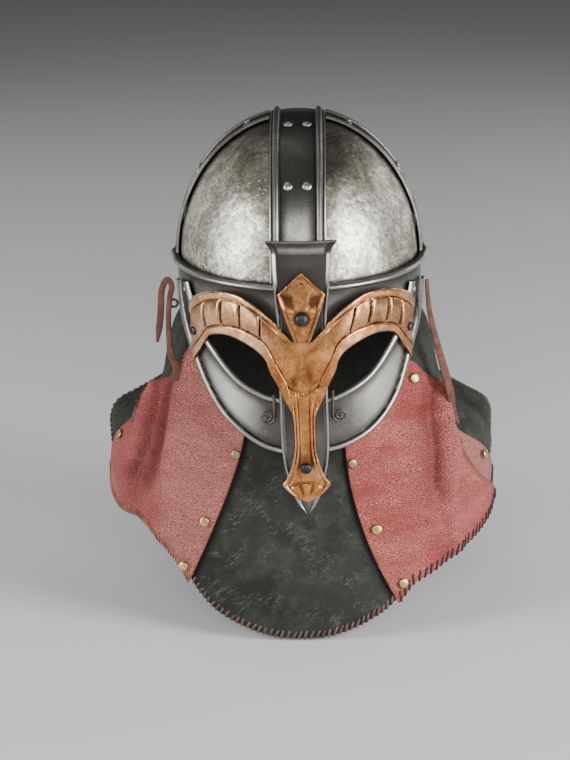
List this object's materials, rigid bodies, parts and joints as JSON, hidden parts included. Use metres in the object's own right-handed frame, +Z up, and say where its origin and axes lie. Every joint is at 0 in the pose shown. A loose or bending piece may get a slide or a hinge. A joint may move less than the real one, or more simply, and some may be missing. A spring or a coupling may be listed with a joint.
{
  "type": "nasal helmet",
  "caption": "Banded steel helmet with an embossed copper face mask on a long nasal bar, eye guards and a draped leather neck guard with red cheek panels.",
  "frame": {"origin": "middle of the brow bead, at the level where the helmet sits round the head", "axes": "+Z up through the crown, the face looks along -Y, +X to the wearer's left"},
  "size_m": [0.3315, 0.2829, 0.4156],
  "materials": {
    "steel": "hammered and brushed, dark patina",
    "dark_steel": "blackened",
    "copper": "embossed copper with brown patina",
    "red_leather": "pebbled, satin",
    "dark_leather": "scuffed suede, matt",
    "brass": "aged, domed",
    "lace": "flat lace, matt"
  },
  "bodies": {
    "root": {"bib": "dark_leather", "brass_rivet_cheek_left": "brass", "brass_rivet_inner_left": "brass", "brass_rivet_inner_right": "brass", "brass_rivet_point_left": "brass", "brass_rivet_point_right": "brass", "brass_rivet_rear_left": "brass", "brass_rivet_rear_right": "brass", "brass_rivet_seam_left": "brass", "brass_rivet_seam_right": "brass", "brow_band": "steel", "copper_mask": "copper", "crest_band": "steel", "crest_rivet_back_low_left": "steel", "crest_rivet_back_low_right": "steel", "crest_rivet_back_top_left": "steel", "crest_rivet_back_top_right": "steel", "crest_rivet_front_low_left": "steel", "crest_rivet_front_low_right": "steel", "crest_rivet_front_top_left": "steel", "crest_rivet_front_top_right": "steel", "cross_band_left": "steel", "cross_band_right": "steel", "cross_rivet_low_back_left": "steel", "cross_rivet_low_back_right": "steel", "cross_rivet_low_front_left": "steel", "cross_rivet_low_front_right": "steel", "cross_rivet_top_back_left": "steel", "cross_rivet_top_back_right": "steel", "cross_rivet_top_front_left": "steel", "cross_rivet_top_front_right": "steel", "dome_panel_back_left": "steel", "dome_panel_back_right": "steel", "dome_panel_front_left": "steel", "dome_panel_front_right": "steel", "eye_guard_left": "steel", "eye_guard_right": "steel", "guard_rivet_left": "steel", "guard_rivet_right": "steel", "mask_rivet_crest": "dark_steel", "mask_rivet_left": "steel", "mask_rivet_nose": "dark_steel", "mask_rivet_right": "steel", "nasal_bar": "steel", "neck_curtain": "dark_leather", "red_panel_left": "red_leather", "red_panel_right": "red_leather", "scroll_hook_left": "dark_steel", "scroll_hook_right": "dark_steel", "thong_left": "lace", "thong_right": "lace", "thong_ring_right": "dark_steel"}
  },
  "joints": []
}
